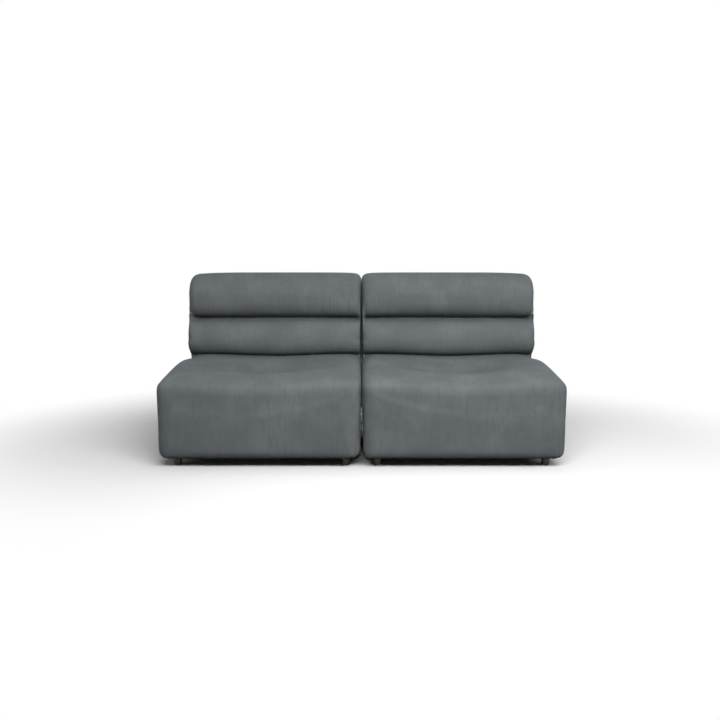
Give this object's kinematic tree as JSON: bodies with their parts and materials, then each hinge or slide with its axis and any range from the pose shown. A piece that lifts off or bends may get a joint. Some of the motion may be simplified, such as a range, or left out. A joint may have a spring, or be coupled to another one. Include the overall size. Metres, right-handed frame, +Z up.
{
  "type": "armless sofa",
  "caption": "Armless modular lounge sofa with dished block seats, rolled and reclined backs and short round feet; its units lift apart.",
  "frame": {"origin": "on the floor, below the middle of the whole sofa's box", "axes": "+X to the sitter's left along the seats, seen from the front to the right; +Y to the back; +Z up"},
  "size_m": [1.76, 0.9296, 0.807],
  "materials": {
    "upholstery_fabric": "matt blue-grey woven upholstery fabric",
    "polyurethane_foam": "cream open-cell foam",
    "dark_stained_beech": "turned beech, dark brown stain, satin lacquer",
    "zinc_plated_steel": "zinc-plated pressed steel",
    "elastic_webbing": "woven elastic strap, dark brown",
    "dust_cloth": "black non-woven cloth",
    "birch_plywood": "bare birch plywood",
    "pine_frame_timber": "planed bare softwood"
  },
  "bodies": {
    "left_module": {"back_board_left": "birch_plywood", "back_cover_left": "upholstery_fabric", "back_post_inner_left": "pine_frame_timber", "back_post_outer_left": "pine_frame_timber", "back_top_rail_left": "pine_frame_timber", "connector_blocks_left": "pine_frame_timber", "corner_blocks_left": "pine_frame_timber", "crease_rod_left": "zinc_plated_steel", "cross_webbing_left": "elastic_webbing", "dust_cover_left": "dust_cloth", "foot_bolts_left": "zinc_plated_steel", "front_feet_left": "dark_stained_beech", "front_rail_left": "pine_frame_timber", "inner_side_rail_left": "pine_frame_timber", "long_webbing_left": "elastic_webbing", "loop_brackets_left": "zinc_plated_steel", "lower_roll_foam_left": "polyurethane_foam", "outer_side_rail_left": "pine_frame_timber", "rear_feet_left": "dark_stained_beech", "rear_pad_left": "polyurethane_foam", "rear_rail_left": "pine_frame_timber", "seat_cover_left": "upholstery_fabric", "seat_foam_left": "polyurethane_foam", "upper_roll_foam_left": "polyurethane_foam"},
    "right_module": {"back_board_right": "birch_plywood", "back_cover_right": "upholstery_fabric", "back_post_inner_right": "pine_frame_timber", "back_post_outer_right": "pine_frame_timber", "back_top_rail_right": "pine_frame_timber", "connector_blocks_right": "pine_frame_timber", "corner_blocks_right": "pine_frame_timber", "crease_rod_right": "zinc_plated_steel", "cross_webbing_right": "elastic_webbing", "dust_cover_right": "dust_cloth", "foot_bolts_right": "zinc_plated_steel", "front_feet_right": "dark_stained_beech", "front_rail_right": "pine_frame_timber", "inner_side_rail_right": "pine_frame_timber", "long_webbing_right": "elastic_webbing", "lower_roll_foam_right": "polyurethane_foam", "outer_side_rail_right": "pine_frame_timber", "rear_feet_right": "dark_stained_beech", "rear_pad_right": "polyurethane_foam", "rear_rail_right": "pine_frame_timber", "seat_cover_right": "upholstery_fabric", "seat_foam_right": "polyurethane_foam", "tongue_brackets_right": "zinc_plated_steel", "upper_roll_foam_right": "polyurethane_foam"}
  },
  "joints": [
    {"name": "module_lift", "type": "slide", "parent": "left_module", "child": "right_module", "axis": [0, 0, 1], "range_m": [0, 0.06]}
  ]
}
